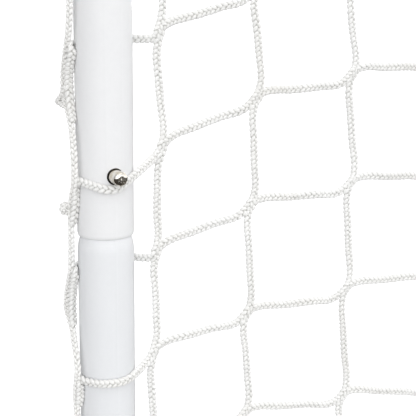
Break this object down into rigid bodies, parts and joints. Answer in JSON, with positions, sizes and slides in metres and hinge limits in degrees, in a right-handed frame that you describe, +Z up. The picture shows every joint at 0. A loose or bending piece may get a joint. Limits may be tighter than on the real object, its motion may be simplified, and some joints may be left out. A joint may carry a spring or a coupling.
{
  "type": "hockey goal net",
  "caption": "Portable hockey goal: white push-fit steel tube frame with spring-button joints and a white square-mesh knotless net threaded onto the tubes.",
  "frame": {"origin": "on the floor at the middle of the goal's footprint", "axes": "+X along the crossbar towards the right post seen from the front, +Y from the mouth to the back, +Z up"},
  "size_m": [1.3792, 0.6188, 1.118],
  "materials": {
    "powder_coat": "satin white powder coat",
    "zinc": "bright zinc plate",
    "nickel": "polished nickel plate",
    "spring_steel": "blued spring steel",
    "netting": "white knotless braid",
    "border_cord": "white braided cord"
  },
  "bodies": {
    "frame": {"left_lower_post": "powder_coat", "right_lower_post": "powder_coat", "left_upper_post": "powder_coat", "right_upper_post": "powder_coat", "left_base_rail": "powder_coat", "right_base_rail": "powder_coat", "left_top_rail": "powder_coat", "right_top_rail": "powder_coat", "back_support": "powder_coat", "frame_bolts": "zinc", "frame_washers": "zinc", "frame_nuts": "zinc", "spring_heels": "spring_steel", "left_side_net": "netting", "right_side_net": "netting", "top_net": "netting", "back_net": "netting", "front_border_cord": "border_cord", "base_border_cord": "border_cord", "left_seam_cord": "border_cord", "right_seam_cord": "border_cord"},
    "left_post_button": {"left_post_snap_button": "nickel", "left_post_spring_leaf": "spring_steel"},
    "right_post_button": {"right_post_snap_button": "nickel", "right_post_spring_leaf": "spring_steel"},
    "left_base_button": {"left_base_snap_button": "nickel", "left_base_spring_leaf": "spring_steel"},
    "right_base_button": {"right_base_snap_button": "nickel", "right_base_spring_leaf": "spring_steel"},
    "crossbar_button": {"crossbar_snap_button": "nickel", "crossbar_spring_leaf": "spring_steel"}
  },
  "joints": [
    {"name": "left_post_button_press", "type": "slide", "parent": "frame", "child": "left_post_button", "axis": [1, 0, 0], "range_m": [-0.0088, 0], "stiffness_N_per_m": 1200, "springref_m": 0.002},
    {"name": "right_post_button_press", "type": "slide", "parent": "frame", "child": "right_post_button", "axis": [-1, 0, 0], "range_m": [-0.0088, 0], "stiffness_N_per_m": 1200, "springref_m": 0.002},
    {"name": "left_base_button_press", "type": "slide", "parent": "frame", "child": "left_base_button", "axis": [1, 0, 0], "range_m": [-0.0088, 0], "stiffness_N_per_m": 1200, "springref_m": 0.002},
    {"name": "right_base_button_press", "type": "slide", "parent": "frame", "child": "right_base_button", "axis": [-1, 0, 0], "range_m": [-0.0088, 0], "stiffness_N_per_m": 1200, "springref_m": 0.002},
    {"name": "crossbar_button_press", "type": "slide", "parent": "frame", "child": "crossbar_button", "axis": [0, 1, 0], "range_m": [-0.0088, 0], "stiffness_N_per_m": 1200, "springref_m": 0.002}
  ]
}
